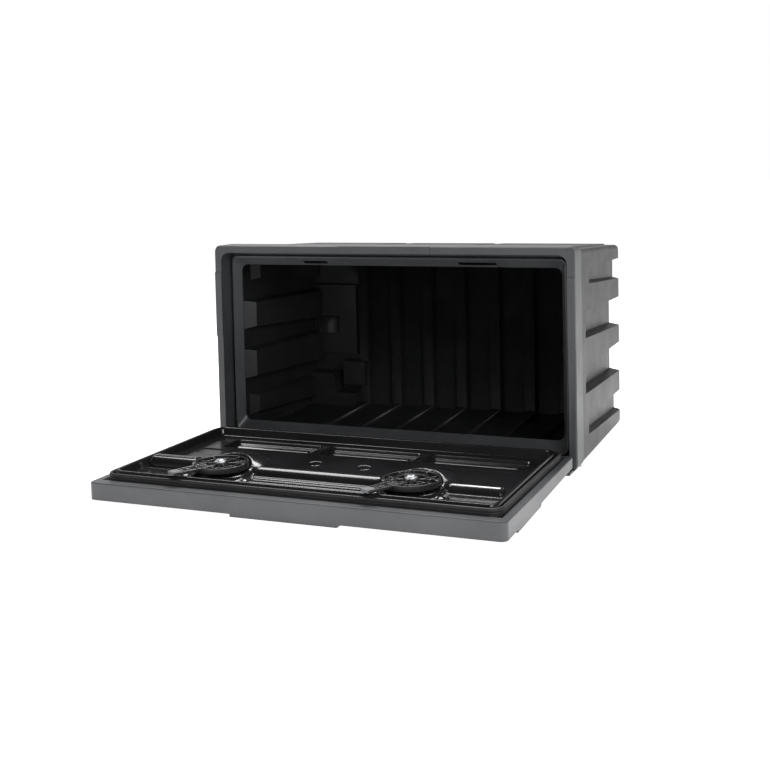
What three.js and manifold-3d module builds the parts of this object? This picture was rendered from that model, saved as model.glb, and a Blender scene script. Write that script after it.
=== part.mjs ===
// Under-body storage toolbox with a drop-down front door, two rotary locks and
// a ribbed moulded shell.  Millimetres, +Z up.  The box stands on z = 0, its
// mouth faces -Y, and its door lies open in front of it.
import * as THREE from 'three';
import { mergeVertices } from 'three/addons/utils/BufferGeometryUtils.js';
import { ConvexGeometry } from 'three/addons/geometries/ConvexGeometry.js';
import Module from 'manifold-3d';

const wasm = await Module();
wasm.setup();

// ---------------------------------------------------------------- dimensions
const W = 800;            // width over the front rim
const H = 438;            // height of the front rim
const D = 455;            // depth, rim front to rear wall
const RIM = 16;           // width of the rim's front face
const RIM_D = 52;         // depth of the rim moulding
const CHANNEL_D = 45;     // depth of the channel inside the rim
const RIDGE_D = 31;       // front of the sealing ridge beside the channel
const LIP_D = 50;         // depth at which the sloping lip reaches the mouth
const MOUTH_X = 362;      // half width of the mouth
const MOUTH_LO = 48;      // mouth, lower edge
const MOUTH_HI = 393;     // mouth, upper edge
const SHELL_X = 396;      // half width of the shell
const SHELL_TOP = 430;    // shell, top face
const WALL = 5;           // shell wall
const BAND = 5;           // how far the cross bands of the door stand proud
const RIM_BAND = 1.6;     // how far the cross bands of the rim stand proud
const BAND_X = 103;       // half width of the vertical band
const BAND_LO = 240;      // horizontal band, lower and upper edge with the door shut
const BAND_HI = 380;
const AX_Y = -26;         // hinge axis
const AX_Z = 13;
const DOOR_X = 398;       // half width of the door
const DOOR_BACK = -22;    // hinge edge of the open door
const DOOR_FREE = -455;   // free edge of the open door
const DOOR_TOP = 37;      // the door's rim face, when open
const PAN_Z0 = 17;        // outer skin of the door at the hinge edge
const PAN_Z1 = BAND;      // outer skin of the door at the free edge
const PAN_T = 3.5;        // thickness of the outer skin
const SEAT_X = 384;       // recess of the door that takes the inner panel
const SEAT_BACK = -31;
const SEAT_FREE = -433;
const LOCK_X = 190;       // lock pivots
const LOCK_Y = -338;
const CAM_R = 52;         // webbed cam disc
const ARM_R = 103;        // reach of the cam's tongue
const ARM_REST = 28;      // angle of the tongue off the straight, unlocked
const GAP = 0.3;

const REAR_X = 390;       // half width of the shell at the rear wall
const REAR_TOP = 412;     // shell, top face at the rear wall
const FLOOR_REAR = 10;    // floor, upper face at the rear wall

// side grooves: z range at the front end, z range at the rear, depth, front end
const SIDE_GROOVES = [
  [354, 387, 333, 383, 15, 138], [247, 301, 227, 294.5, 24, 100], [135, 191.5, 121.5, 190, 24, 96], [48, 86, 30, 79.5, 15, 119],
];
// upright grooves of the rear wall, which run on under the floor
const REAR_GROOVES = [-246, -161, -76, 9, 94, 179, 264];

// ---------------------------------------------------------------- solids
function solid(geometry) {
  const g = geometry.clone();
  g.deleteAttribute('normal');
  if (g.getAttribute('uv')) g.deleteAttribute('uv');
  const m = mergeVertices(g, 1e-4);
  const mesh = new wasm.Mesh({
    numProp: 3,
    vertProperties: new Float32Array(m.getAttribute('position').array),
    triVerts: new Uint32Array(m.index.array),
  });
  return new wasm.Manifold(mesh);
}
function toGeometry(man) {
  const mesh = man.getMesh();
  const g = new THREE.BufferGeometry();
  const n = mesh.numProp;
  const v = mesh.vertProperties;
  const pos = new Float32Array((v.length / n) * 3);
  for (let i = 0; i < v.length / n; i++) {
    pos[3 * i] = v[n * i]; pos[3 * i + 1] = v[n * i + 1]; pos[3 * i + 2] = v[n * i + 2];
  }
  g.setAttribute('position', new THREE.BufferAttribute(pos, 3));
  g.setIndex(new THREE.BufferAttribute(new Uint32Array(mesh.triVerts), 1));
  g.computeVertexNormals();
  return g;
}
const move = (g, x = 0, y = 0, z = 0) => g.translate(x, y, z);
function box(x0, x1, y0, y1, z0, z1) {
  return solid(move(new THREE.BoxGeometry(x1 - x0, y1 - y0, z1 - z0), (x0 + x1) / 2, (y0 + y1) / 2, (z0 + z1) / 2));
}
// upright cylinder
function cylZ(x, y, r, z0, z1, seg = 32, r2 = r) {
  const g = new THREE.CylinderGeometry(r2, r, z1 - z0, seg);
  g.rotateX(Math.PI / 2);
  return solid(move(g, x, y, (z0 + z1) / 2));
}
// cylinder along X
function cylX(x0, x1, y, z, r, seg = 24) {
  const g = new THREE.CylinderGeometry(r, r, x1 - x0, seg);
  g.rotateZ(Math.PI / 2);
  return solid(move(g, (x0 + x1) / 2, y, z));
}
function hull(points) {
  return solid(new ConvexGeometry(points.map((p) => new THREE.Vector3(...p))));
}
const union = (...list) => list.reduce((a, b) => a.add(b));
const cut = (a, ...list) => list.reduce((x, b) => x.subtract(b), a);

// points of a rounded rectangle, counter-clockwise in (u, v)
function roundRect(u0, u1, v0, v1, r, n = 5) {
  const pts = [];
  const corner = (cu, cv, a0) => {
    for (let i = 0; i <= n; i++) {
      const a = a0 + (Math.PI / 2) * (i / n);
      pts.push([cu + r * Math.cos(a), cv + r * Math.sin(a)]);
    }
  };
  corner(u1 - r, v1 - r, 0);
  corner(u0 + r, v1 - r, Math.PI / 2);
  corner(u0 + r, v0 + r, Math.PI);
  corner(u1 - r, v0 + r, 1.5 * Math.PI);
  return pts;
}
// closed loft through rings of equal point count, convex ends
function loft(rings) {
  const n = rings[0].length;
  const pos = [];
  for (const ring of rings) for (const p of ring) pos.push(...p);
  const idx = [];
  for (let k = 0; k + 1 < rings.length; k++) {
    for (let i = 0; i < n; i++) {
      const j = (i + 1) % n;
      const a = k * n + i, b = k * n + j, c = (k + 1) * n + j, d = (k + 1) * n + i;
      idx.push(a, b, c, a, c, d);
    }
  }
  for (let i = 1; i + 1 < n; i++) {
    idx.push(0, i + 1, i);
    const o = (rings.length - 1) * n;
    idx.push(o, o + i, o + i + 1);
  }
  const g = new THREE.BufferGeometry();
  g.setAttribute('position', new THREE.Float32BufferAttribute(pos, 3));
  g.setIndex(idx);
  let m = solid(g);
  if (m.volume() < 0) {
    const flipped = [];
    for (let i = 0; i < idx.length; i += 3) flipped.push(idx[i], idx[i + 2], idx[i + 1]);
    g.setIndex(flipped);
    m = solid(g);
  }
  return m;
}
// loft along Y of rounded rectangles in XZ: stations [y, halfX, zLow, zHigh, r]
const loftY = (...st) => loft(st.map(([y, hx, z0, z1, r]) =>
  roundRect(-hx, hx, z0, z1, r).map(([u, v]) => [u, y, v])));
// loft along Z of rounded rectangles in XY: stations [z, x0, x1, y0, y1, r]
const loftZ = (...st) => loft(st.map(([z, x0, x1, y0, y1, r]) =>
  roundRect(x0, x1, y0, y1, r).map(([u, v]) => [u, v, z])));
// prism along X of a polygon given in (y, z)
function prismX(x0, x1, poly) {
  return loft([x0, x1].map((x) => poly.map(([y, z]) => [x, y, z])));
}

// ---------------------------------------------------------------- box shell
function makeShell() {
  let s = loftY(
    [RIM_D + GAP, SHELL_X, 0, SHELL_TOP, 10],
    [D - 5, REAR_X, 0, REAR_TOP, 10],
    [D, REAR_X - 4, 4, REAR_TOP - 4, 8],
  );
  s = s.subtract(loftY(
    [RIM_D - 1, SHELL_X - WALL, WALL, SHELL_TOP - WALL, 8],
    [D - WALL, REAR_X - WALL, FLOOR_REAR, REAR_TOP - WALL, 8],
  ));
  // inner sides of the corrugations
  const bumps = [];
  const cuts = [];
  for (const side of [-1, 1]) {
    for (const [f0, f1, z0, z1, d, yf] of SIDE_GROOVES) {
      const a = SHELL_X, b = SHELL_X - d, c = REAR_X - d;
      bumps.push(hull([
        [side * (a - WALL + 1), yf - 7, f0 - 6], [side * (a - WALL + 1), yf - 7, f1 + 6],
        [side * (REAR_X - WALL + 1), D - WALL + 1, z0 - 6], [side * (REAR_X - WALL + 1), D - WALL + 1, z1 + 6],
        [side * (b - WALL), yf + 17, f0], [side * (b - WALL), yf + 17, f1],
        [side * (c - WALL), D - WALL + 1, z0], [side * (c - WALL), D - WALL + 1, z1],
      ]));
      cuts.push(hull([
        [side * (a + 1), yf - 1, f0 - 0.2], [side * (a + 1), yf - 1, f1 + 0.2],
        [side * (a + 1), D + 1, z0 - 0.2], [side * (a + 1), D + 1, z1 + 0.2],
        [side * b, yf + 22, f0 + 5], [side * b, yf + 22, f1 - 5],
        [side * c, D + 1, z0 + 5], [side * c, D + 1, z1 - 5],
      ]));
    }
  }
  for (const c of REAR_GROOVES) {
    const zt = REAR_TOP - 14;
    // on the rear wall
    bumps.push(hull([
      [c - 18, D - WALL + 1, 4], [c + 18, D - WALL + 1, 4], [c - 18, D - WALL + 1, REAR_TOP - 3], [c + 18, D - WALL + 1, REAR_TOP - 3],
      [c - 12.5, D - 21, 4], [c + 12.5, D - 21, 4], [c - 12.5, D - 21, REAR_TOP - 2.5], [c + 12.5, D - 21, REAR_TOP - 2.5],
    ]));
    cuts.push(hull([
      [c - 13, D + 1, -1], [c + 13, D + 1, -1], [c - 13, D + 1, zt + 2], [c + 13, D + 1, zt + 2],
      [c - 8, D - 16, -1], [c + 8, D - 16, -1], [c - 8, D - 16, zt - 6], [c + 8, D - 16, zt - 6],
    ]));
    // under the floor
    bumps.push(hull([
      [c - 16, 78, WALL - 1], [c + 16, 78, WALL - 1], [c - 16, D - WALL + 1, WALL - 1], [c + 16, D - WALL + 1, WALL - 1],
      [c - 12, 92, 13], [c + 12, 92, 13], [c - 12, D - WALL + 1, FLOOR_REAR + 9], [c + 12, D - WALL + 1, FLOOR_REAR + 9],
    ]));
    cuts.push(hull([
      [c - 10, 84, -1], [c + 10, 84, -1], [c - 10, D + 1, -1], [c + 10, D + 1, -1],
      [c - 7, 94, 8], [c + 7, 94, 8], [c - 7, D + 1, 8], [c + 7, D + 1, 8],
    ]));
  }
  // bosses in the rear left corner
  const yb = D - WALL + 1;
  const XL = -(REAR_X - WALL + 1);
  const boss = (x0, x1, z0, z1, h) => hull([
    [x0, yb, z0], [x1, yb, z0], [x0, yb, z1], [x1, yb, z1],
    [x0 + 2, yb - 1 - h, z0 + 2], [x1 - 3, yb - 1 - h, z0 + 2], [x0 + 2, yb - 1 - h, z1 - 3], [x1 - 3, yb - 1 - h, z1 - 3],
  ]);
  bumps.push(boss(XL, -266, 135, 312, 11));
  bumps.push(boss(-368, -314, 188, 232, 24));
  bumps.push(boss(-300, -238, 60, 123, 30));
  bumps.push(boss(XL, -314, 4, 93, 40));
  bumps.push(boss(XL, -258, 4, 46, 40));
  // stiffening panels on the roof
  const roofZ = (y) => SHELL_TOP + (REAR_TOP - SHELL_TOP) * (y - RIM_D) / (D - 5 - RIM_D);
  for (const [x0, x1] of [[-366, -120], [-106, 106], [120, 366]]) {
    const ya = 84, yb = D - 24;
    bumps.push(hull([
      [x0, ya, roofZ(ya) - 1], [x1, ya, roofZ(ya) - 1], [x0, yb, roofZ(yb) - 1], [x1, yb, roofZ(yb) - 1],
      [x0 + 5, ya + 5, roofZ(ya + 5) + 3], [x1 - 5, ya + 5, roofZ(ya + 5) + 3],
      [x0 + 5, yb - 5, roofZ(yb - 5) + 3], [x1 - 5, yb - 5, roofZ(yb - 5) + 3],
    ]));
  }
  s = union(s, ...bumps);
  s = cut(s, ...cuts);
  // drain holes
  for (const side of [-1, 1]) s = s.subtract(cylZ(side * 322, 110, 8, -1, 14, 24));
  return s;
}

// ---------------------------------------------------------------- front rim
function makeRim() {
  let r = loftY(
    [0, W / 2 - 2, 2, H - 2, 12],
    [2, W / 2, 0, H, 14],
    [RIM_D, W / 2, 0, H, 14],
  );
  // the bands that cross the rim stand forward of it
  const band = (x0, x1, z0, z1) => hull([
    [x0, 3, z0], [x1, 3, z0], [x0, 3, z1], [x1, 3, z1],
    [x0 + 0.8, -RIM_BAND, z0 + 0.8], [x1 - 0.8, -RIM_BAND, z0 + 0.8], [x0 + 0.8, -RIM_BAND, z1 - 0.8], [x1 - 0.8, -RIM_BAND, z1 - 0.8],
  ]);
  r = union(r,
    band(-BAND_X, BAND_X, H - 20, H), band(-BAND_X, BAND_X, 0, 8),
    band(-W / 2, -W / 2 + 20, BAND_LO, BAND_HI), band(W / 2 - 20, W / 2, BAND_LO, BAND_HI));
  r = r.subtract(loftY(
    [-RIM_BAND - 1, W / 2 - RIM, RIM, H - RIM, 18],
    [CHANNEL_D, W / 2 - RIM, RIM, H - RIM, 18],
  ));
  // sealing ridge behind a channel, sloping back to the mouth
  r = union(r, loftY(
    [RIDGE_D, W / 2 - RIM - 9, RIM + 9, H - RIM - 9, 15],
    [CHANNEL_D + 1, W / 2 - RIM - 6.5, RIM + 6.5, H - RIM - 6.5, 16],
  ));
  r = r.subtract(loftY(
    [RIDGE_D - 0.1, W / 2 - RIM - 12, RIM + 12, H - RIM - 12, 14],
    [LIP_D, MOUTH_X, MOUTH_LO, MOUTH_HI, 14],
    [RIM_D + 1, MOUTH_X, MOUTH_LO, MOUTH_HI, 14],
  ));
  for (const side of [-1, 1]) {
    const x = side * LOCK_X;
    // slot that the tongue swings up into
    r = r.subtract(box(x - 54, x + 17, 13.7, 25, H - RIM - 2, H - RIM + 9.5));
    // relief slots in the sloping lip above the mouth
    r = r.subtract(side < 0 ? box(-205, -148, 36, RIM_D + 1, 397, 403) : box(148, 229, 36, RIM_D + 1, 397, 403));
    // pocket for the hinge bracket's plate, and its cross pin
    const a = side > 0 ? [361.7, 392.3] : [-392.3, -361.7];
    r = r.subtract(box(a[0], a[1], -1, 46.3, -1, 5.9));
    const p = side > 0 ? [360, 401] : [-401, -360];
    r = r.subtract(cylX(p[0], p[1], 38, 3.1, 1.7, 16));
  }
  return r;
}

// striker plate at the front side of a tongue slot
function makeKeeper(side) {
  const x = side * LOCK_X;
  let k = box(x - 53.7, x + 16.7, 14, 16, H - RIM + 0.3, H - RIM + 9.2);
  return union(k, box(x - 53.7, x + 16.7, 14, 24.7, H - RIM + 7.7, H - RIM + 9.2));
}

// ---------------------------------------------------------------- hinges
function makeBracket(side) {
  const x = (v) => [side * v[0], side * v[1]].sort((p, q) => p - q);
  const pl = x([362, 392]), kn = x([366, 378]);
  let b = box(pl[0], pl[1], -31, 46, 0.5, 5.6);
  b = union(b, box(kn[0], kn[1], -32, -20, 3, AX_Z), cylX(kn[0], kn[1], AX_Y, AX_Z, 7));
  b = b.subtract(cylX(kn[0] - 1, kn[1] + 1, AX_Y, AX_Z, 3.08));
  return b.subtract(cylX(pl[0] - 1, pl[1] + 1, 38, 3.1, 1.7, 16));
}
function makeHingePin(side) {
  const x = [side * 352.5, side * 391.5].sort((p, q) => p - q);
  return cylX(x[0], x[1], AX_Y, AX_Z, 3);
}
function makeCrossPin(side) {
  const x = [side * 362.5, side * 399.6].sort((p, q) => p - q);
  return cylX(x[0], x[1], 38, 3.1, 1.4, 16);
}

// ---------------------------------------------------------------- door
const skinZ = (y) => PAN_Z0 + (PAN_Z1 - PAN_Z0) * (y - DOOR_BACK) / (DOOR_FREE - DOOR_BACK);
const slab = (x0, x1, ya, yb, dz0, zTop) => prismX(x0, x1, [
  [ya, skinZ(ya) + dz0], [yb, skinZ(yb) + dz0], [yb, zTop], [ya, zTop],
]);
const shutToOpen = (z) => AX_Y - (z - AX_Z);   // height on the shut door to y on the open door

function makeDoorOuter() {
  let d = slab(-DOOR_X, DOOR_X, DOOR_FREE, DOOR_BACK, 0, DOOR_TOP);
  const yA = shutToOpen(BAND_HI), yB = shutToOpen(BAND_LO);
  // raised cross bands of the outer face
  d = union(d,
    prismX(-BAND_X, BAND_X, [[DOOR_FREE, skinZ(DOOR_FREE) - BAND], [DOOR_BACK, skinZ(DOOR_BACK) - BAND], [DOOR_BACK, skinZ(DOOR_BACK) + 1], [DOOR_FREE, skinZ(DOOR_FREE) + 1]]),
    prismX(-DOOR_X, DOOR_X, [[yA, skinZ(yA) - BAND], [yB, skinZ(yB) - BAND], [yB, skinZ(yB) + 1], [yA, skinZ(yA) + 1]]));
  d = d.intersect(loftZ([-5, -DOOR_X, DOOR_X, DOOR_FREE, DOOR_BACK, 12], [DOOR_TOP - 1.5, -DOOR_X, DOOR_X, DOOR_FREE, DOOR_BACK, 12],
    [DOOR_TOP, -DOOR_X + 1.5, DOOR_X - 1.5, DOOR_FREE + 1.5, DOOR_BACK - 1.5, 11]));
  // recess for the inner panel
  d = d.subtract(slab(-SEAT_X, SEAT_X, SEAT_FREE, SEAT_BACK, PAN_T, DOOR_TOP + 5));
  // ears that carry the hinge pins, and clearance for the brackets' knuckles
  for (const side of [-1, 1]) {
    const k = [side * 354, side * 365.7].sort((p, q) => p - q);
    const m = [side * 378.3, side * 390].sort((p, q) => p - q);
    for (const [x0, x1] of [k, m]) d = union(d, cylX(x0, x1, AX_Y, AX_Z, 7), box(x0, x1, -32.5, -22.5, AX_Z, 20));
    const n = [side * 365.7, side * 378.3].sort((p, q) => p - q);
    d = cut(d, cylX(n[0], n[1], AX_Y, AX_Z, 7.6));
    d = d.subtract(cylX(k[0] < 0 ? m[0] - 1 : k[0] - 1, k[0] < 0 ? k[1] + 1 : m[1] + 1, AX_Y, AX_Z, 3.08));
    // holes for the lock housings
    d = d.subtract(cylZ(side * LOCK_X, LOCK_Y, 46.3, -1, 24, 48));
  }
  return d;
}

function makeDoorInner() {
  const z0 = 24, gut = 30, ring = 52, floor = 36;
  const e = GAP;
  let p = loftZ([z0, -SEAT_X + e, SEAT_X - e, SEAT_FREE + e, SEAT_BACK - e, 6], [gut, -SEAT_X + e, SEAT_X - e, SEAT_FREE + e, SEAT_BACK - e, 6]);
  // raised ring all round
  let r = loftZ([gut - 1, -374.5, 374.5, -424, -40, 22], [ring - 3, -374.5, 374.5, -424, -40, 22], [ring, -371, 371, -420.5, -43.5, 19]);
  r = r.subtract(loftZ([floor - 0.01, -360, 360, -409, -55, 16], [ring - 4, -362, 362, -411, -53, 18], [ring + 1, -365, 365, -414, -50, 20]));
  p = union(p, r);
  // half-round beam across, in three runs
  const by = -313, br = 17;
  for (const [x0, x1] of [[-350, -256], [-128, 128], [256, 350]]) {
    let b = cylX(x0, x1, by, floor - 1, br, 28);
    b = b.subtract(box(x0 - 1, x1 + 1, by - 40, by + 40, 0, floor - 2));
    p = union(p, b);
  }
  // two thin ridges in front of the beam
  for (const y of [-349, -364]) p = union(p, prismX(-118, 118, [[y - 3, floor - 1], [y + 3, floor - 1], [y + 1.5, floor + 4], [y - 1.5, floor + 4]]));
  for (const side of [-1, 1]) {
    const x = side * LOCK_X;
    // drum that carries the lock, and the dome on its hinge side
    p = union(p, cylZ(x, LOCK_Y, 60, floor - 1, floor + 8, 48, 54));
    const s = new THREE.SphereGeometry(1, 32, 20);
    s.scale(66, 58, 30);
    s.translate(x + 6, LOCK_Y + 56, floor - 2);
    let dome = solid(s);
    dome = dome.subtract(box(x - 90, x + 90, LOCK_Y - 60, LOCK_Y + 130, -10, floor - 2));
    p = union(p, dome);
    p = p.subtract(cylZ(x, LOCK_Y, CAM_R + 4, floor + 10.5, 90, 48));
  }
  // shallow pockets near the hinge edge and round dimples
  const pocket = (x0, x1, y0, y1, d) => loftZ([floor - d, x0 + 3, x1 - 3, y0 + 3, y1 - 3, 5], [floor + 0.2, x0, x1, y0, y1, 7]);
  for (const [x0, x1] of [[-300, -104], [-84, 112], [132, 334]]) p = p.subtract(pocket(x0, x1, -150, -86, 7));
  for (const [x, y, r2] of [[-56, -220, 15], [46, -220, 15], [-126, -388, 10], [126, -388, 10]]) p = p.subtract(cylZ(x, y, r2 - 2, floor - 6, floor + 0.2, 24, r2));
  // clearance for the spindles
  for (const side of [-1, 1]) p = p.subtract(cylZ(side * LOCK_X, LOCK_Y, 8.4, z0 - 1, 60, 32));
  return p;
}

function makeGasket() {
  let g = loftZ([30.3, -381.5, 381.5, -431, -33, 26], [46, -381.5, 381.5, -431, -33, 26], [49, -379.5, 379.5, -429, -35, 25]);
  return g.subtract(loftZ([29, -375.2, 375.2, -424.7, -39.3, 22.5], [50, -375.2, 375.2, -424.7, -39.3, 22.5]));
}

// ---------------------------------------------------------------- locks
function makeHousing(x) {
  let c = cylZ(x, LOCK_Y, 46, 2.2, 23.6, 48);
  c = c.subtract(cylZ(x, LOCK_Y, 43, 2, 19.8, 48));
  return c.subtract(cylZ(x, LOCK_Y, 8.4, 0, 30, 32));
}
function makeHandle(x) {
  let h = cylZ(x, LOCK_Y, 42, 12.4, 19.3, 48);
  // grip bar
  h = union(h, hull([
    [x - 39, LOCK_Y - 8, 13], [x + 39, LOCK_Y - 8, 13], [x - 39, LOCK_Y + 8, 13], [x + 39, LOCK_Y + 8, 13],
    [x - 37, LOCK_Y - 6, 3.6], [x + 37, LOCK_Y - 6, 3.6], [x - 37, LOCK_Y + 6, 3.6], [x + 37, LOCK_Y + 6, 3.6],
  ]), cylZ(x, LOCK_Y, 13, 3.6, 13, 32, 14));
  return h.subtract(cylZ(x, LOCK_Y, 7.3, 0, 15.3, 32));
}
function makeCylinder(x) {
  const c = cylZ(x, LOCK_Y, 7, 3.9, 15, 32);
  return c.subtract(box(x - 0.8, x + 0.8, LOCK_Y - 4, LOCK_Y + 4, 3, 10));
}
function makeCap(x) {
  return union(cylZ(x, LOCK_Y, 9, 1.8, 3.3, 28), hull([
    [x, LOCK_Y - 4, 1.8], [x, LOCK_Y + 4, 1.8], [x + 17, LOCK_Y - 3.5, 1.8], [x + 17, LOCK_Y + 3.5, 1.8],
    [x, LOCK_Y - 4, 3.3], [x, LOCK_Y + 4, 3.3], [x + 17, LOCK_Y - 3.5, 3.3], [x + 17, LOCK_Y + 3.5, 3.3],
  ]));
}
const makeSpindle = (x) => cylZ(x, LOCK_Y, 8, 19.6, 49.6, 32);
function makeCam(x) {
  // webbed disc: hub, rim and spokes on a thin web
  let c = cylZ(0, 0, CAM_R, 50, 53, 56);
  c = union(c, cut(cylZ(0, 0, CAM_R, 50, 61, 56), cylZ(0, 0, CAM_R - 5, 49, 62, 56)), cylZ(0, 0, 14, 50, 62, 32));
  for (let i = 0; i < 8; i++) {
    const g = new THREE.BoxGeometry(CAM_R - 14, 3.2, 8);
    g.translate((CAM_R + 10) / 2, 0, 56);
    g.rotateZ((i + 0.5) * Math.PI / 4 - Math.PI / 2);
    c = union(c, solid(g));
  }
  // tongue, pointing at the free edge
  c = union(c, hull([
    [-17, -30, 55], [17, -30, 55], [-12, -ARM_R, 55.5], [12, -ARM_R, 55.5],
    [-15, -30, 61], [15, -30, 61], [-11, -ARM_R, 60], [11, -ARM_R, 60],
  ]));
  c = c.subtract(cylZ(0, 0, 4, 40, 70, 20));
  const a = -ARM_REST * Math.PI / 180;
  return c.rotate([0, 0, a * 180 / Math.PI]).translate([x, LOCK_Y, 0]);
}
const makeCamScrew = (x) => union(cylZ(x, LOCK_Y, 3.7, 49.9, 63, 20), cylZ(x, LOCK_Y, 8, 62.3, 66, 6));
// drain plug pushed into the floor
function makeDrain(side) {
  const x = side * 322, y = 110;
  return union(cylZ(x, y, 12, WALL + 1.3, WALL + 4.3, 28, 10.5), cylZ(x, y, 7.7, 1, WALL + 2, 24));
}

// ---------------------------------------------------------------- assembly
const plastic = (c, r) => new THREE.MeshStandardMaterial({ color: c, roughness: r, metalness: 0 });
const metal = (c, r) => new THREE.MeshStandardMaterial({ color: c, roughness: r, metalness: 1 });
const toolbox = new THREE.Group();
toolbox.name = 'toolbox';
function add(name, man, material) {
  const m = new THREE.Mesh(toGeometry(man), material);
  m.name = name;
  toolbox.add(m);
}

add('box_shell', makeShell(), plastic(0x1b1c1e, 0.55));
add('front_rim', makeRim(), plastic(0x2c2d30, 0.5));
add('door_outer_shell', makeDoorOuter(), plastic(0x2c2d30, 0.5));
add('door_inner_panel', makeDoorInner(), plastic(0x0c0d0e, 0.22));
add('door_gasket', makeGasket(), plastic(0x08080a, 0.8));
for (const [side, n] of [[-1, 'left'], [1, 'right']]) {
  const x = side * LOCK_X;
  add(`keeper_plate_${n}`, makeKeeper(side), metal(0x8d9094, 0.35));
  add(`hinge_bracket_${n}`, makeBracket(side), plastic(0x151618, 0.5));
  add(`hinge_pin_${n}`, makeHingePin(side), metal(0x9a9da2, 0.3));
  add(`bracket_cross_pin_${n}`, makeCrossPin(side), metal(0x55575a, 0.4));
  add(`drain_plug_${n}`, makeDrain(side), plastic(0x101012, 0.8));
  add(`lock_housing_${n}`, makeHousing(x), plastic(0x17181a, 0.5));
  add(`lock_handle_${n}`, makeHandle(x), plastic(0x1d1e20, 0.45));
  add(`key_cylinder_${n}`, makeCylinder(x), metal(0xa5a8ad, 0.3));
  add(`key_cover_${n}`, makeCap(x), plastic(0x222326, 0.45));
  add(`lock_spindle_${n}`, makeSpindle(x), metal(0x8d9094, 0.35));
  add(`latch_cam_${n}`, makeCam(x), plastic(0x1a1b1d, 0.35));
  add(`cam_screw_${n}`, makeCamScrew(x), metal(0x9a9da2, 0.3));
}

export default toolbox;
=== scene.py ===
import bpy
import bmesh
import math
import numpy as np
from mathutils import Matrix, Vector


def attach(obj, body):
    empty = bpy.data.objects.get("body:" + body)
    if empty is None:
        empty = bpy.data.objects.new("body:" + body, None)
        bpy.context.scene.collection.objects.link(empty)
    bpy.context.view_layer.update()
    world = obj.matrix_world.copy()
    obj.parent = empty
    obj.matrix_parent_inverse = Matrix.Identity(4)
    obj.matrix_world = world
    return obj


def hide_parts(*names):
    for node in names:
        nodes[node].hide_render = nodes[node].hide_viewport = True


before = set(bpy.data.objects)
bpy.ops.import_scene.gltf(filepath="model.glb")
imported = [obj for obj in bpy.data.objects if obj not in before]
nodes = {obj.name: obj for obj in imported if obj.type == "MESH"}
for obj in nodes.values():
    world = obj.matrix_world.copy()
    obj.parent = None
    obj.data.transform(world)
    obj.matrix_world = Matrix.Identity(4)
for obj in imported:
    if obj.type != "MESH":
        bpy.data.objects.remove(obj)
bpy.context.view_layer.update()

MM = 0.001
scene = bpy.context.scene

# ------------------------------------------------------------------ camera
YAW, PITCH, ROLL = 0.3736, 0.0516, -0.0208
F_PX, CX, CY = 1140.96, 425.0, 230.0
fwd = Vector((-math.sin(YAW) * math.cos(PITCH), math.cos(YAW) * math.cos(PITCH), -math.sin(PITCH)))
right = Vector((math.cos(YAW), math.sin(YAW), 0))
up = right.cross(fwd)
r2 = right * math.cos(ROLL) + up * math.sin(ROLL)
u2 = -right * math.sin(ROLL) + up * math.cos(ROLL)
cam_data = bpy.data.cameras.new("camera")
cam_data.sensor_width = 36.0
cam_data.lens = F_PX / 770 * 36
cam_data.shift_x = -(CX - 385) / 770
cam_data.shift_y = (CY - 385) / 770
cam_data.clip_start, cam_data.clip_end = 0.05, 100
cam = bpy.data.objects.new("camera", cam_data)
scene.collection.objects.link(cam)
cam.matrix_world = Matrix((
    (r2.x, u2.x, -fwd.x, 0.93043),
    (r2.y, u2.y, -fwd.y, -2.13695),
    (r2.z, u2.z, -fwd.z, 0.58958),
    (0, 0, 0, 1)))
scene.camera = cam


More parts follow.
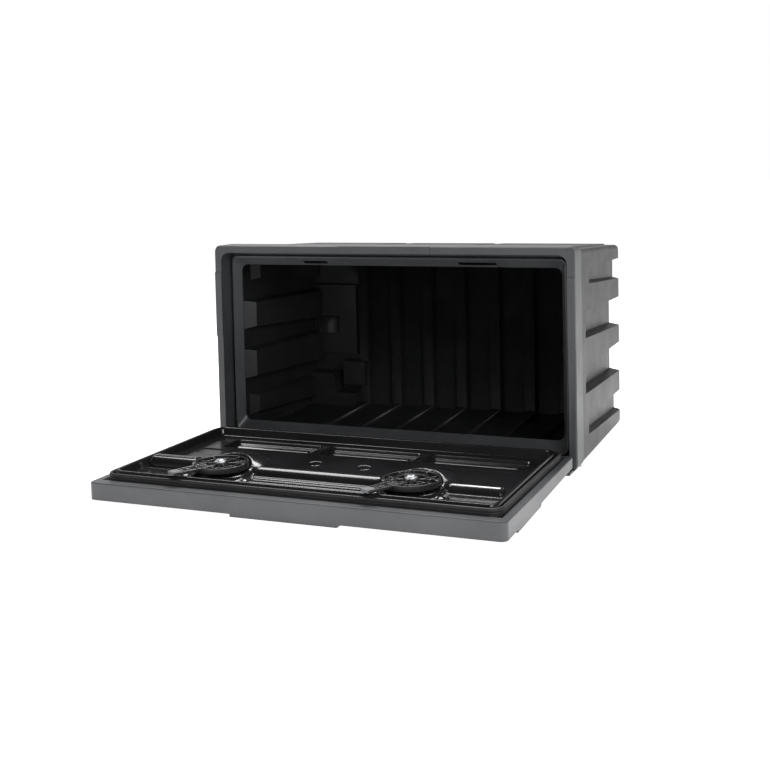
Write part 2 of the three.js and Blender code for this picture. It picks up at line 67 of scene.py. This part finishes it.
# ------------------------------------------------------------------ materials
def material(name, base, rough, grain=0.0, grain_mm=0.9, mottle=0.12, rough_var=0.1, coat=0.0, coat_rough=0.1,
             metallic=0.0, spec=0.5, dust=0.0, scratch=0.0, brush=None, wave=0.0, ior=1.5):
    m = bpy.data.materials.new(name)
    m.use_nodes = True
    nt = m.node_tree
    nt.nodes.clear()
    N = nt.nodes.new
    L = nt.links.new
    out = N("ShaderNodeOutputMaterial")
    p = N("ShaderNodeBsdfPrincipled")
    L(p.outputs[0], out.inputs[0])
    p.inputs["Metallic"].default_value = metallic
    p.inputs["IOR"].default_value = ior
    p.inputs["Specular IOR Level"].default_value = spec
    if coat:
        p.inputs["Coat Weight"].default_value = coat
        p.inputs["Coat Roughness"].default_value = coat_rough
    tc = N("ShaderNodeTexCoord")
    co = tc.outputs["Object"]

    def noise(scale, detail=3.0, rough_=0.55, vec=None, dist=0.0):
        n = N("ShaderNodeTexNoise")
        n.inputs["Scale"].default_value = scale
        n.inputs["Detail"].default_value = detail
        n.inputs["Roughness"].default_value = rough_
        n.inputs["Distortion"].default_value = dist
        L(vec or co, n.inputs["Vector"])
        return n.outputs["Fac"]

    def ramp(fac, lo, hi, a=0.0, b=1.0):
        n = N("ShaderNodeMapRange")
        n.interpolation_type = "SMOOTHSTEP"
        L(fac, n.inputs["Value"])
        for k, v in (("From Min", lo), ("From Max", hi), ("To Min", a), ("To Max", b)):
            n.inputs[k].default_value = v
        return n.outputs["Result"]

    def mathn(op, a, b):
        n = N("ShaderNodeMath")
        n.operation = op
        for i, v in enumerate((a, b)):
            if isinstance(v, (int, float)):
                n.inputs[i].default_value = v
            else:
                L(v, n.inputs[i])
        return n.outputs[0]

    def mix(fac, a, b):
        n = N("ShaderNodeMix")
        n.data_type = "RGBA"
        n.clamp_factor = True
        for key, v in (("Factor", fac), ("A", a), ("B", b)):
            sock = [s for s in n.inputs if s.name == key and s.enabled][0]
            if isinstance(v, (int, float)):
                sock.default_value = v
            elif isinstance(v, tuple):
                sock.default_value = (*v, 1)
            else:
                L(v, sock)
        return [s for s in n.outputs if s.enabled][0]

    # colour: slow mottling of the moulding, paler dust in the grain, and fine scuffs
    slow = noise(9.0, 4.0)
    fine = noise(140.0, 3.0)
    dark = tuple(c * (1 - mottle) for c in base)
    lite = tuple(min(1, c * (1 + mottle)) for c in base)
    col = mix(ramp(slow, 0.32, 0.68), dark, lite)
    col = mix(mathn("MULTIPLY", ramp(fine, 0.45, 0.75), 0.35), col, tuple(min(1, c * (1 + 1.6 * mottle)) for c in base))
    if dust:
        d = mathn("MULTIPLY", ramp(noise(5.0, 6.0, 0.7), 0.52, 0.78), dust)
        col = mix(d, col, (0.20, 0.19, 0.175))
    rgh = mathn("ADD", mathn("MULTIPLY", mathn("SUBTRACT", noise(16.0, 5.0), 0.5), rough_var * 2), rough)
    rgh = mathn("ADD", rgh, mathn("MULTIPLY", mathn("SUBTRACT", fine, 0.5), rough_var))
    height = None
    if scratch:
        mp = N("ShaderNodeMapping")
        mp.inputs["Scale"].default_value = (1.0, 14.0, 5.0)
        mp.inputs["Rotation"].default_value = (0.35, 0.2, 0.6)
        L(co, mp.inputs["Vector"])
        s = ramp(noise(26.0, 8.0, 0.75, mp.outputs[0], 0.6), 0.66, 0.74)
        gate = ramp(noise(3.2, 3.0), 0.5, 0.66)
        sg = mathn("MULTIPLY", s, gate)
        col = mix(mathn("MULTIPLY", sg, scratch), col, tuple(min(1, c * 2.6 + 0.02) for c in base))
        rgh = mathn("ADD", rgh, mathn("MULTIPLY", sg, 0.12 * scratch))
    L(col, p.inputs["Base Color"])
    clampn = N("ShaderNodeClamp")
    L(rgh, clampn.inputs["Value"])
    clampn.inputs["Min"].default_value = 0.04
    clampn.inputs["Max"].default_value = 0.95
    L(clampn.outputs[0], p.inputs["Roughness"])
    nrm = None
    if wave:
        b0 = N("ShaderNodeBump")
        b0.inputs["Strength"].default_value = 1.0
        b0.inputs["Distance"].default_value = wave * MM
        L(noise(6.0, 2.0), b0.inputs["Height"])
        nrm = b0.outputs[0]
    if grain:
        v = N("ShaderNodeTexVoronoi")
        v.feature = "SMOOTH_F1"
        v.inputs["Scale"].default_value = 1 / (grain_mm * MM)
        v.inputs["Smoothness"].default_value = 0.7
        L(co, v.inputs["Vector"])
        h = mathn("ADD", mathn("MULTIPLY", v.outputs["Distance"], 0.7), mathn("MULTIPLY", noise(0.45 / (grain_mm * MM), 4.0, 0.6), 0.8))
        b = N("ShaderNodeBump")
        b.inputs["Strength"].default_value = 1.0
        b.inputs["Distance"].default_value = grain * MM
        L(h, b.inputs["Height"])
        if nrm:
            L(nrm, b.inputs["Normal"])
        nrm = b.outputs[0]
    if brush:
        mp = N("ShaderNodeMapping")
        mp.inputs["Scale"].default_value = brush
        L(co, mp.inputs["Vector"])
        b = N("ShaderNodeBump")
        b.inputs["Strength"].default_value = 1.0
        b.inputs["Distance"].default_value = 0.02 * MM
        L(noise(300.0, 5.0, 0.7, mp.outputs[0]), b.inputs["Height"])
        if nrm:
            L(nrm, b.inputs["Normal"])
        nrm = b.outputs[0]
    if nrm:
        L(nrm, p.inputs["Normal"])
    return m


M = {
    "shell": material("shell_black_moulded", (0.013, 0.0135, 0.0145), 0.44, grain=0.12, grain_mm=1.5, mottle=0.22, rough_var=0.10, dust=0.05, scratch=0.5, wave=0.35, spec=0.36),
    "rim": material("rim_grey_moulded", (0.046, 0.048, 0.051), 0.40, grain=0.045, grain_mm=0.9, mottle=0.12, rough_var=0.08, dust=0.03, scratch=0.4, wave=0.12),
    "door": material("door_grey_moulded", (0.070, 0.072, 0.076), 0.33, grain=0.045, grain_mm=0.9, mottle=0.12, rough_var=0.08, dust=0.03, scratch=0.4, wave=0.12),
    "panel": material("liner_gloss_black", (0.012, 0.012, 0.013), 0.17, grain=0.010, grain_mm=2.2, mottle=0.25, rough_var=0.05, dust=0.012, scratch=0.5, wave=0.25),
    "seal": material("seal_rubber", (0.011, 0.011, 0.011), 0.55, grain=0.03, grain_mm=0.7, mottle=0.3, rough_var=0.12, dust=0.05),
    "lock": material("lock_nylon_black", (0.022, 0.022, 0.024), 0.38, grain=0.02, grain_mm=0.6, mottle=0.2, rough_var=0.1, scratch=0.4),
    "cam": material("cam_nylon_black", (0.018, 0.018, 0.019), 0.30, grain=0.02, grain_mm=0.6, mottle=0.25, rough_var=0.12, scratch=0.8),
    "tip": material("cam_tip_worn_grey", (0.16, 0.165, 0.17), 0.36, grain=0.02, grain_mm=0.5, mottle=0.2, rough_var=0.12, scratch=0.8),
    "steel": material("zinc_plated_steel", (0.55, 0.56, 0.57), 0.32, mottle=0.12, rough_var=0.12, metallic=1.0, brush=(1, 12, 12), scratch=0.3),
}


# ------------------------------------------------------------------ mesh helpers
def new_object(name, verts, faces, mat, smooth=True):
    me = bpy.data.meshes.new(name)
    me.from_pydata([tuple(v) for v in verts], [], [tuple(f) for f in faces])
    me.validate()
    me.update()
    o = bpy.data.objects.new(name, me)
    scene.collection.objects.link(o)
    for m in (mat if isinstance(mat, (list, tuple)) else [mat]):
        me.materials.append(m)
    if smooth:
        me.polygons.foreach_set("use_smooth", [True] * len(me.polygons))
    return o


def from_bm(name, bm, mat):
    me = bpy.data.meshes.new(name)
    bm.to_mesh(me)
    bm.free()
    o = bpy.data.objects.new(name, me)
    scene.collection.objects.link(o)
    for m in (mat if isinstance(mat, (list, tuple)) else [mat]):
        me.materials.append(m)
    me.polygons.foreach_set("use_smooth", [True] * len(me.polygons))
    return o


def bake_modifiers(o):
    bpy.context.view_layer.update()
    dg = bpy.context.evaluated_depsgraph_get()
    me = bpy.data.meshes.new_from_object(o.evaluated_get(dg), preserve_all_data_layers=True, depsgraph=dg)
    old = o.data
    o.modifiers.clear()
    o.data = me
    bpy.data.meshes.remove(old)
    return o


def soften(name, node, mat, width, segments=3, angle=25, planar=1.0, ringed=None):
    """A copy of a CAD solid with its sharp edges rounded. width(mid, length, convex) gives each edge's radius in mm."""
    src = nodes[node]
    bm = bmesh.new()
    bm.from_mesh(src.data)
    bmesh.ops.remove_doubles(bm, verts=bm.verts, dist=1e-5)
    # merge flat triangles, except on the faces that have holes or raised panels in them (ringed)
    flat = [e for e in bm.edges if not (ringed and len(e.link_faces) == 2 and all(ringed(f.calc_center_median() / MM, f.normal) for f in e.link_faces))]
    loose = {v for e in flat for v in e.verts} if not ringed else {
        v for v in bm.verts if not any(ringed(f.calc_center_median() / MM, f.normal) for f in v.link_faces)}
    bmesh.ops.dissolve_limit(bm, angle_limit=math.radians(planar), verts=list(loose), edges=flat, delimit=set())
    bmesh.ops.recalc_face_normals(bm, faces=bm.faces)
    lay = bm.edges.layers.float.get("bevel_weight_edge") or bm.edges.layers.float.new("bevel_weight_edge")
    top = 0.0
    todo = []
    for e in bm.edges:
        if len(e.link_faces) != 2:
            continue
        a = e.calc_face_angle_signed(0.0)
        if abs(a) < math.radians(angle):
            continue
        mid = (e.verts[0].co + e.verts[1].co) / 2 / MM
        w = width(mid, e.calc_length() / MM, a > 0)
        if w > 0:
            todo.append((e, w))
            top = max(top, w)
    for e, w in todo:
        e[lay] = w / top
    o = from_bm(name, bm, mat)
    md = o.modifiers.new("round", "BEVEL")
    md.width = top * MM
    md.segments = segments
    md.limit_method = "WEIGHT"
    md.use_clamp_overlap = True
    md.miter_outer = "MITER_ARC"
    md.profile = 0.5
    bake_modifiers(o)
    box = np.array([v.co[:] for v in src.data.vertices])
    co = np.empty(len(o.data.vertices) * 3)
    o.data.vertices.foreach_get("co", co)
    co = np.clip(co.reshape(-1, 3), box.min(0), box.max(0))
    o.data.vertices.foreach_set("co", co.ravel())
    o.data.update()
    wn = o.modifiers.new("normals", "WEIGHTED_NORMAL")
    wn.mode = "FACE_AREA"
    wn.weight = 60
    wn.keep_sharp = False
    return o


def put(o, body, slot, *replaced):
    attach(o, body)
    if replaced:
        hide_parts(*replaced)
    return o


# ------------------------------------------------------------------ box shell, rim and door pan
def w_shell(m, length, convex):
    if length < 2.0:
        return 0
    if abs(m.x) > 300 and abs(abs(m.x) - 322) < 12 and abs(m.y - 110) < 12:
        return 0
    if m.z > 396 and m.y > 425 and abs(m.x) < 384:      # where the ridges run up into the roof
        return 0
    if m.y > 446:
        return 1.0
    return 2.2


def shell_ringed(c, n):
    return (n.z > 0.9 and c.z > 405) or (n.y < -0.9 and c.y < 53) or (n.z < -0.9 and c.z < 1)


shell = soften("shell_body", "box_shell", M["shell"], w_shell, ringed=shell_ringed)
put(shell, "box", "shell_black", "box_shell")


def w_rim(m, length, convex):
    if length < 0.9:
        return 0
    if m.z < 6.5 and m.y > -1.5 and 358 < abs(m.x) < 400:
        return 0
    if m.y > 10 and (421 < m.z < 433 or 396 < m.z < 404) and abs(m.x) < 260:
        return 0
    if m.y < -0.2:
        return 0.4
    if m.y < 3.5:
        return 0.9
    if 30 < m.y < 41:
        return 2.0
    if m.y > 44:
        return 1.6
    return 1.2


def rim_ringed(c, n):
    return abs(n.y) > 0.9


rim = soften("rim_moulding", "front_rim", M["rim"], w_rim, ringed=rim_ringed)
put(rim, "box", "rim_grey", "front_rim")


def w_door(m, length, convex):
    if length < 0.9:
        return 0
    if m.y > -36 and abs(m.x) > 340:
        return 0
    if abs(math.hypot(abs(m.x) - 190, m.y + 338) - 46.3) < 1.5:
        return 0.8
    if m.z > 31:
        return 0.9
    if m.z > 19 and abs(m.x) < 384.5 and -433.5 < m.y < -30.5:
        return 0
    return 2.0


def door_ringed(c, n):
    return abs(n.z) > 0.9


pan = soften("door_pan", "door_outer_shell", M["door"], w_door, ringed=door_ringed)
put(pan, "door", "rim_grey", "door_outer_shell")


# ------------------------------------------------------------------ door liner, a fine thermoformed skin
def rr(X, Y, x0, x1, y0, y1, r):
    """Signed distance to a rounded rectangle, negative inside."""
    cx, cy, hx, hy = (x0 + x1) / 2, (y0 + y1) / 2, (x1 - x0) / 2, (y1 - y0) / 2
    qx, qy = np.abs(X - cx) - (hx - r), np.abs(Y - cy) - (hy - r)
    return np.hypot(np.maximum(qx, 0), np.maximum(qy, 0)) + np.minimum(np.maximum(qx, qy), 0) - r


def ss(t):
    t = np.clip(t, 0, 1)
    return t * t * (3 - 2 * t)


def smax(a, b, k):
    h = np.maximum(k - np.abs(a - b), 0) / k
    return np.maximum(a, b) + h * h * k / 4


def smin(a, b, k):
    return -smax(-a, -b, k)


LOCK_X, LOCK_Y = 190, -338


def liner_height(X, Y):
    gut, ring, floor = 30.0, 52.0, 36.0
    z = np.full_like(X, gut)
    dA = rr(X, Y, -374.5, 374.5, -424, -40, 22)
    z = gut + (ring - gut) * ss(-dA / 5.0)
    dB = rr(X, Y, -366.5, 366.5, -416, -48, 18)
    z = z - (ring - floor) * ss(-dB / 9.0)
    inner = -rr(X, Y, -355, 355, -404.5, -59.5, 12)
    gate = ss(inner / 3.0)
    f = np.full_like(X, floor)
    # half-round beam, in three runs
    for x0, x1, r, flat in ((-352, -252, 19, 5.0), (-128, 128, 17, 0.0), (252, 350, 17, 0.0)):
        dy = np.abs(Y + 313)
        dyf = np.maximum(dy - flat, 0) * (r / max(r - flat, 1))
        hgt = np.sqrt(np.maximum(r * r - dyf * dyf, 0)) + (flat * 0.7)
        hgt = np.where(dy < r, hgt, 0)
        e = 3.5 if abs(x0) > 200 else 8.0
        ends = np.clip(np.minimum((X - x0) / e, (x1 - X) / e), 0, 1)
        ends = np.sqrt(1 - (1 - ends) ** 2)
        f = smax(f, floor - 1 + hgt * ends, 3.0)
    # thin ridges in front of the beam
    for y in (-349, -364):
        prof = 4.5 * ss(1 - np.abs(Y - y) / 3.6)
        f = f + prof * ss((118 - np.abs(X)) / 5)
    # long shallow step between the ridges and the lip
    f = f + 1.6 * ss((-rr(X, Y, -116, 116, -396, -376, 6)) / 4)
    for s in (-1, 1):
        x = s * LOCK_X
        d = np.hypot(X - x, Y - LOCK_Y)
        drum = floor + 9 * ss((61 - d) / 6.5)
        f = smax(f, drum, 2.5)
        q = 1 - ((X - x - 6) / 66) ** 2 - ((Y - LOCK_Y - 56) / 58) ** 2
        dome = floor - 2 + 30 * np.sqrt(np.maximum(q, 0))
        f = smax(f, dome, 5.0)
        # wall that the cam turns beside
        cutz = 46.5 + 40 * ss((d - 55) / 5.5)
        f = smin(f, cutz, 3.0)
        # fixing pads of the lock round the drum
        for k in range(3):
            a = math.radians(200 + 70 * k)
            dd = np.hypot(X - x - 66 * math.cos(a), Y - LOCK_Y - 62 * math.sin(a))
            f = smax(f, floor + 3.5 * ss((8 - dd) / 3.5), 1.5)
    # recesses near the hinge edge
    for x0, x1 in ((-300, -104), (-84, 112), (132, 334)):
        d = rr(X, Y, x0, x1, -150, -86, 8)
        f = f - 7.5 * ss(-d / 4.5)
        # raised rail inside each
        f = f + 3.0 * ss(-rr(X, Y, x0 + 14, x1 - 14, -124, -113, 4) / 3.5)
    for x, y, r in ((-56, -220, 16), (46, -220, 16), (-126, -388, 10), (126, -388, 10)):
        d = np.hypot(X - x, Y - y)
        f = f - 6.5 * ss((r - d) / 4.0)
        f = f + 1.2 * ss(1 - np.abs(d - r - 2.5) / 3.0)
    # broad shallow panels, so that large flats are not dead flat
    f = f - 1.2 * ss(-rr(X, Y, 150, 340, -285, -168, 14) / 6) - 1.2 * ss(-rr(X, Y, -340, -150, -205, -168, 14) / 6)
    z = np.where(gate > 0, z + (f - floor) * gate, z)
    return z


def grid_lines(lo, hi, base, fine, spots):
    """Line positions from lo to hi, spaced base apart, and fine apart near the given spots."""
    out = [lo]
    while out[-1] < hi - 1e-6:
        p = out[-1]
        near = min(abs(p + base / 2 - c) - w for c, w in spots)
        step = fine if near < base else base
        out.append(min(hi, p + step))
    if hi - out[-2] < 0.3 * fine:
        out.pop(-2)
    return np.array(out)


def closed_field(name, xs, ys, zfun, z_under, mat):
    """A closed solid with a height field on top and a flat underside."""
    X, Y = np.meshgrid(xs, ys, indexing="ij")
    Z = zfun(X, Y)
    nx, ny = X.shape
    top = np.stack([X, Y, Z], -1).reshape(-1, 3)
    bot = np.stack([X, Y, np.full_like(X, z_under)], -1)
    verts = list(map(tuple, top * MM))
    idx = np.arange(nx * ny).reshape(nx, ny)
    a, b, c, d = idx[:-1, :-1], idx[1:, :-1], idx[1:, 1:], idx[:-1, 1:]
    faces = np.stack([a, b, c, d], -1).reshape(-1, 4).tolist()
    # underside ring and face
    loop = list(idx[:, 0]) + list(idx[-1, 1:]) + list(idx[-2::-1, -1]) + list(idx[0, -2:0:-1])
    base = len(verts)
    for i in loop:
        x, y, _ = top[i]
        verts.append((x * MM, y * MM, z_under * MM))
    n = len(loop)
    for k in range(n):
        k2 = (k + 1) % n
        faces.append((loop[k2], loop[k], base + k, base + k2))
    faces.append(tuple(base + k for k in range(n - 1, -1, -1)))
    o = new_object(name, verts, faces, mat)
    return o


xs = grid_lines(-383.6, 383.6, 2.4, 1.5, [(-372, 14), (372, 14)])
ys = grid_lines(-432.6, -31.4, 2.4, 1.4, [(-420, 14), (-44, 14), (-313, 22), (-356, 14)])
liner = closed_field("door_liner", xs, ys, liner_height, 24.2, M["panel"])
# no lock holes are cut through the liner; they would stay under the cams, where the spindles pass
put(liner, "door", "panel_gloss_black", "door_inner_panel")


# ------------------------------------------------------------------ swept seal
def rr_path(x0, x1, y0, y1, r, seg=10, step=40):
    pts = []
    def corner(cx, cy, a0):
        for i in range(seg + 1):
            a = a0 + math.pi / 2 * i / seg
            pts.append((cx + r * math.cos(a), cy + r * math.sin(a), math.cos(a), math.sin(a)))
    def line(xa, ya, xb, yb, nx, ny):
        n = max(1, int(math.hypot(xb - xa, yb - ya) / step))
        for i in range(1, n):
            t = i / n
            pts.append((xa + (xb - xa) * t, ya + (yb - ya) * t, nx, ny))
    corner(x1 - r, y1 - r, 0)
    line(x1 - r, y1, x0 + r, y1, 0, 1)
    corner(x0 + r, y1 - r, math.pi / 2)
    line(x0, y1 - r, x0, y0 + r, -1, 0)
    corner(x0 + r, y0 + r, math.pi)
    line(x0 + r, y0, x1 - r, y0, 0, -1)
    corner(x1 - r, y0 + r, 1.5 * math.pi)
    line(x1, y0 + r, x1, y1 - r, 1, 0)
    return pts


def sweep(name, path, profile, mat):
    verts, faces = [], []
    n, k = len(path), len(profile)
    for x, y, nx, ny in path:
        for u, v in profile:
            verts.append(((x + nx * u) * MM, (y + ny * u) * MM, v * MM))
    for i in range(n):
        j = (i + 1) % n
        for a in range(k):
            b = (a + 1) % k
            faces.append((i * k + a, j * k + a, j * k + b, i * k + b))
    o = new_object(name, verts, faces, mat)
    bm = bmesh.new()
    bm.from_mesh(o.data)
    bmesh.ops.recalc_face_normals(bm, faces=bm.faces)
    bm.to_mesh(o.data)
    bm.free()
    return o


prof = []
for i in range(17):            # hollow-section bulb on a foot with two small ribs
    a = math.radians(-50 + 280 * i / 16)
    prof.append((3.05 * math.cos(a), 45.0 + 4.0 * math.sin(a)))
prof += [(-2.4, 40.6), (-3.05, 40.0), (-2.5, 39.2), (-2.5, 36.4), (-3.05, 35.8), (-2.5, 35.0), (-3.0, 30.5), (3.0, 30.5), (2.5, 35.0), (3.05, 35.8), (2.5, 36.4), (2.5, 39.2), (3.05, 40.0), (2.4, 40.6)]
seal = sweep("door_seal", rr_path(-378.35, 378.35, -427.85, -36.15, 22.8), prof, M["seal"])
put(seal, "door", "gasket_rubber", "door_gasket")


# ------------------------------------------------------------------ cams
def bm_cyl(bm, x, y, r1, r2_, z0, z1, seg=64):
    mat = Matrix.Translation((x * MM, y * MM, (z0 + z1) / 2 * MM))
    return bmesh.ops.create_cone(bm, cap_ends=True, segments=seg, radius1=r1 * MM, radius2=r2_ * MM, depth=(z1 - z0) * MM, matrix=mat)["verts"]


def bm_prism(bm, pts, z0, z1, top_inset=0.0):
    n = len(pts)
    cx = sum(p[0] for p in pts) / n
    cy = sum(p[1] for p in pts) / n
    lo = [bm.verts.new((x * MM, y * MM, z0 * MM)) for x, y in pts]
    hi = []
    for x, y in pts:
        d = math.hypot(x - cx, y - cy) or 1
        hi.append(bm.verts.new(((x - (x - cx) / d * top_inset) * MM, (y - (y - cy) / d * top_inset) * MM, z1 * MM)))
    bm.faces.new(lo[::-1])
    bm.faces.new(hi)
    for i in range(n):
        j = (i + 1) % n
        bm.faces.new((lo[i], lo[j], hi[j], hi[i]))


def bm_tube(bm, ro, ri, z0, z1, seg=72, x=0, y=0, taper=0.3):
    rows = []
    for r, z in ((ro, z0), (ro - taper, z1), (ri + taper, z1), (ri, z0)):
        rows.append([bm.verts.new(((x + r * math.cos(2 * math.pi * i / seg)) * MM, (y + r * math.sin(2 * math.pi * i / seg)) * MM, z * MM)) for i in range(seg)])
    for k in range(4):
        a, b = rows[k], rows[(k + 1) % 4]
        for i in range(seg):
            j = (i + 1) % seg
            bm.faces.new((a[i], a[j], b[j], b[i]))


def remeshed(name, bm, mat, voxel, smooth=4, ratio=0.3):
    bmesh.ops.recalc_face_normals(bm, faces=bm.faces)
    o = from_bm(name, bm, mat)
    md = o.modifiers.new("vox", "REMESH")
    md.mode = "VOXEL"
    md.voxel_size = voxel * MM
    md.use_smooth_shade = True
    s = o.modifiers.new("smooth", "SMOOTH")
    s.factor = 0.5
    s.iterations = smooth
    d = o.modifiers.new("thin", "DECIMATE")
    d.ratio = ratio
    bake_modifiers(o)
    o.data.polygons.foreach_set("use_smooth", [True] * len(o.data.polygons))
    if not o.data.materials:
        o.data.materials.append(mat)
    wn = o.modifiers.new("normals", "WEIGHTED_NORMAL")
    wn.weight = 55
    return o


def rot(px, py, a):
    return px * math.cos(a) - py * math.sin(a), px * math.sin(a) + py * math.cos(a)


def make_cam():
    bm = bmesh.new()
    bm_cyl(bm, 0, 0, 51.5, 51.5, 50.2, 52.6, 96)
    bm_tube(bm, 52, 48.6, 50.2, 61, 96)
    bm_tube(bm, 34.5, 32, 51, 59, 72)
    bm_tube(bm, 44.5, 42.8, 51, 57, 72)
    bm_cyl(bm, 0, 0, 15, 13.5, 50.2, 62, 48)
    for i in range(12):
        a = (i + 0.5) * math.pi / 6
        w = 1.3
        pts = [rot(*p, a) for p in ((12, -w), (50, -w), (50, w), (12, w))]
        bm_prism(bm, pts, 51, 59.5 if i % 2 else 57.5, 0)
    # ear pads on the rim of the disc
    for a in (0.55, 2.6, 4.1):
        pts = [rot(*p, a) for p in ((44, -8), (51.8, -7), (51.8, 7), (44, 8))]
        bm_prism(bm, pts, 50.4, 61.6, 0.6)
    # tongue: two side rails, a web and a solid tip
    a0 = 0
    for s in (-1, 1):
        pts = [(s * 16.5, -22), (s * 12.0, -102.4), (s * 8.8, -102.4), (s * 12.6, -22)]
        bm_prism(bm, pts if s < 0 else pts[::-1], 55.9, 61.2, 0)
    bm_prism(bm, [(-15, -22), (15, -22), (11, -101), (-11, -101)][::-1], 56.0, 58.2, 0)
    bm_prism(bm, [(-11.8, -84), (11.8, -84), (11.2, -102.6), (-11.2, -102.6)][::-1], 56.0, 60.6, 0.4)
    for y in (-40, -56, -70):
        bm_prism(bm, [(-14, y - 1.1), (14, y - 1.1), (14, y + 1.1), (-14, y + 1.1)], 57, 60.2, 0)
    o = remeshed("cam_master", bm, M["cam"], 0.75, 3, 0.30)
    return o


def make_tip():
    bm = bmesh.new()
    bm_prism(bm, [(-9.6, -85.5), (9.6, -85.5), (9.4, -103.0), (-9.4, -103.0)][::-1], 59.4, 61.9, 0.5)
    bm_prism(bm, [(-9.4, -100.5), (9.4, -100.5), (9.4, -103.2), (-9.4, -103.2)][::-1], 56.1, 61.5, 0.2)
    return remeshed("tip_master", bm, M["tip"], 0.6, 3, 0.4)


def make_screw():
    """Hexagon screw on a washer, with a turned ring on its head."""
    bm = bmesh.new()
    bm_cyl(bm, 0, 0, 11, 10.6, 62.0, 63.2, 40)
    pts = [(8.2 * math.cos(i * math.pi / 3 + 0.3), 8.2 * math.sin(i * math.pi / 3 + 0.3)) for i in range(6)]
    bm_prism(bm, pts, 63.0, 65.2, 0.2)
    bm_prism(bm, pts, 65.2, 65.9, 1.1)
    bm_tube(bm, 5.0, 3.2, 65.6, 66.0, 32)
    return remeshed("screw_master", bm, M["steel"], 0.4, 2, 0.4)


cam_master, tip_master, screw_master = make_cam(), make_tip(), make_screw()
REST = -math.radians(28)
for side, n in ((-1, "left"), (1, "right")):
    tf = Matrix.Translation((side * LOCK_X * MM, LOCK_Y * MM, 0)) @ Matrix.Rotation(REST, 4, "Z")
    for master, nm, slot, rep in ((cam_master, "cam_webbed_", "cam_black", "latch_cam_"), (tip_master, "cam_tip_", "cam_black", None), (screw_master, "cam_hex_screw_", "zinc_steel", "cam_screw_")):
        o = bpy.data.objects.new(nm + n, master.data.copy())
        scene.collection.objects.link(o)
        o.data.transform(tf)
        o.data.materials.clear()
        o.data.materials.append(master.data.materials[0])
        wn = o.modifiers.new("normals", "WEIGHTED_NORMAL")
        wn.weight = 55
        put(o, "lock_" + n, slot, *([rep + n] if rep else []))
for master in (cam_master, tip_master, screw_master):
    bpy.data.objects.remove(master)


# ------------------------------------------------------------------ small CAD parts keep their shape and get rounded edges
def rounded(node, mat, width, segments=2, angle=30):
    o = nodes[node]
    o.data.materials.clear()
    o.data.materials.append(mat)
    w = o.modifiers.new("weld", "WELD")
    w.merge_threshold = 0.00001
    d = o.modifiers.new("planar", "DECIMATE")
    d.decimate_type = "DISSOLVE"
    d.angle_limit = math.radians(1)
    b = o.modifiers.new("round", "BEVEL")
    b.width = width * MM
    b.segments = segments
    b.limit_method = "ANGLE"
    b.angle_limit = math.radians(angle)
    b.use_clamp_overlap = True
    o.data.polygons.foreach_set("use_smooth", [True] * len(o.data.polygons))
    wn = o.modifiers.new("normals", "WEIGHTED_NORMAL")
    wn.weight = 60


for n in ("left", "right"):
    rounded("keeper_plate_" + n, M["steel"], 0.3)
    rounded("hinge_bracket_" + n, M["lock"], 0.6)
    rounded("hinge_pin_" + n, M["steel"], 0.4)
    rounded("bracket_cross_pin_" + n, M["steel"], 0.25)
    rounded("drain_plug_" + n, M["seal"], 0.6)
    rounded("lock_housing_" + n, M["lock"], 0.6)
    rounded("lock_handle_" + n, M["lock"], 0.9)
    rounded("key_cylinder_" + n, M["steel"], 0.25)
    rounded("key_cover_" + n, M["lock"], 0.3)
    rounded("lock_spindle_" + n, M["steel"], 0.4)

# ------------------------------------------------------------------ floor and light
floor_me = bpy.data.meshes.new("floor")
floor_me.from_pydata([(-40, -40, 0), (40, -40, 0), (40, 40, 0), (-40, 40, 0)], [], [(0, 1, 2, 3)])
floor = bpy.data.objects.new("floor", floor_me)
floor.location = (0, 0, -0.0006)
scene.collection.objects.link(floor)
fm = bpy.data.materials.new("floor_pale")
fm.use_nodes = True
fp = fm.node_tree.nodes["Principled BSDF"]
fp.inputs["Base Color"].default_value = (0.50, 0.50, 0.50, 1)
fp.inputs["Roughness"].default_value = 0.9
fp.inputs["Specular IOR Level"].default_value = 0.1
fp.inputs["Emission Color"].default_value = (1, 1, 1, 1)
fp.inputs["Emission Strength"].default_value = 0.97
floor_me.materials.append(fm)

# studio: a white cyclorama round the horizon, a darker ceiling, and soft boxes
world = bpy.data.worlds.new("studio")
scene.world = world
world.use_nodes = True
wt = world.node_tree
wt.nodes.clear()
wo = wt.nodes.new("ShaderNodeOutputWorld")
wb = wt.nodes.new("ShaderNodeBackground")
tc = wt.nodes.new("ShaderNodeTexCoord")
sx = wt.nodes.new("ShaderNodeSeparateXYZ")
mr = wt.nodes.new("ShaderNodeMapRange")
mr.interpolation_type = "SMOOTHSTEP"
mr.inputs["From Min"].default_value = 0.155
mr.inputs["From Max"].default_value = 0.30
mr.inputs["To Min"].default_value = 1.0
mr.inputs["To Max"].default_value = 0.05
wt.links.new(tc.outputs["Generated"], sx.inputs[0])
wt.links.new(sx.outputs["Z"], mr.inputs["Value"])
wt.links.new(mr.outputs["Result"], wb.inputs["Strength"])
wb.inputs["Color"].default_value = (1, 1, 1, 1)
wt.links.new(wb.outputs[0], wo.inputs[0])


def area(name, loc, target, size, power, size_y=None):
    d = bpy.data.lights.new(name, "AREA")
    d.shape = "RECTANGLE"
    d.size = size
    d.size_y = size_y or size
    d.energy = power
    o = bpy.data.objects.new(name, d)
    scene.collection.objects.link(o)
    o.location = loc
    o.rotation_euler = (Vector(target) - Vector(loc)).to_track_quat("-Z", "Y").to_euler()
    return o


area("key_right", (1.9, -1.9, 1.5), (0.1, 0, 0.25), 1.1, 38, 1.1)
area("top_rear", (0.1, 0.9, 2.3), (0, -0.1, 0), 1.5, 60, 0.8)
area("door_sheen", (-1.0, 0.6, 2.2), (0, -0.25, 0), 1.6, 60, 1.2)

scene.view_settings.view_transform = "Standard"
